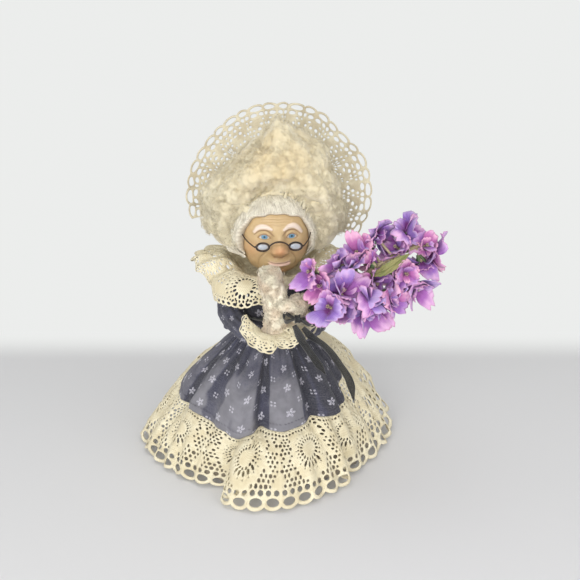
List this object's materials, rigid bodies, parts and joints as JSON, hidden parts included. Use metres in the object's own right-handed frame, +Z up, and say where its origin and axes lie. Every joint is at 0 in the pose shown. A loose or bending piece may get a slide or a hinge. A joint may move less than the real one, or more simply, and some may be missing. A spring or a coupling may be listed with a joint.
{
  "type": "apple head doll",
  "caption": "Standing granny doll with a turning moulded head, wool hair, lace bonnet and collar, tilting wire spectacles, a calico skirt and hinged arms that hold a bouquet.",
  "frame": {"origin": "centre of the felt foot, on the surface that the doll stands on", "axes": "+Z up along the doll's neck dowel; the doll faces -Y and its own left is +X"},
  "size_m": [0.2504, 0.2063, 0.2892],
  "materials": {
    "felt": "pressed wool felt",
    "card": "grey board",
    "foam": "beaded foam",
    "wood": "bare hardwood",
    "lining": "plain dark cotton",
    "navy_cotton": "faded printed calico",
    "lace": "heavy bobbin lace",
    "bonnet_lace": "open bobbin lace",
    "skin": "painted satin",
    "white_hair": "combed grooves",
    "wool": "curly fleece",
    "boucle": "looped yarn",
    "arm_wire": "bare wire",
    "rim_wire": "dark enamel",
    "lens": "clear",
    "stem": "dull",
    "leaf": "pressed cloth leaf",
    "petal_violet": "dyed cloth petals",
    "petal_pink": "dyed cloth petals",
    "ribbon": "sheer satin"
  },
  "bodies": {
    "root": {"foot_felt": "felt", "base_disc": "card", "body_cone": "foam", "neck_dowel": "wood", "bodice": "navy_cotton", "neck_washer": "wood", "waistband": "navy_cotton", "petticoat": "lining", "skirt": "navy_cotton", "hem_lace": "lace", "collar_lace": "lace"},
    "head": {"moulded_head": "skin", "hair_fringe": "white_hair", "wool_top": "wool", "wool_right": "wool", "wool_left": "wool", "wool_back": "wool", "bonnet_lace": "bonnet_lace", "bonnet_crown": "bonnet_lace"},
    "spectacles": {"spectacle_frame": "rim_wire", "temple_right": "rim_wire", "temple_left": "rim_wire", "lens_right": "lens", "lens_left": "lens"},
    "arms": {"arm_wire_right": "arm_wire", "arm_wire_left": "arm_wire", "sleeve_right": "navy_cotton", "sleeve_left": "navy_cotton", "mitten_right": "boucle", "mitten_left": "boucle", "cuff_lace_right": "lace", "cuff_lace_left": "lace", "bouquet_stem": "stem", "bouquet_side_stem": "stem", "leaf": "leaf", "floret_01": "petal_pink", "floret_02": "petal_violet", "floret_03": "petal_violet", "floret_04": "petal_pink", "floret_05": "petal_violet", "floret_06": "petal_violet", "floret_07": "petal_pink", "floret_08": "petal_violet", "floret_09": "petal_violet", "floret_10": "petal_pink", "floret_11": "petal_violet", "floret_12": "petal_violet", "floret_13": "petal_pink", "floret_14": "petal_violet", "ribbon_bow": "ribbon", "ribbon_tail_long": "ribbon", "ribbon_tail_short": "ribbon"}
  },
  "joints": [
    {"name": "head_turn", "type": "hinge", "parent": "root", "child": "head", "pos_m": [0, 0, 0.154], "axis": [0, 0, 1], "range_deg": [-20, 20]},
    {"name": "spectacle_tilt", "type": "hinge", "parent": "head", "child": "spectacles", "pos_m": [0.00441, -0.02112, 0.1905], "axis": [-0.9925, -0.1219, 0], "range_deg": [0, 25]},
    {"name": "arm_lift", "type": "hinge", "parent": "root", "child": "arms", "pos_m": [0, 0, 0.141], "axis": [-1, 0, 0], "range_deg": [0, 6]}
  ]
}
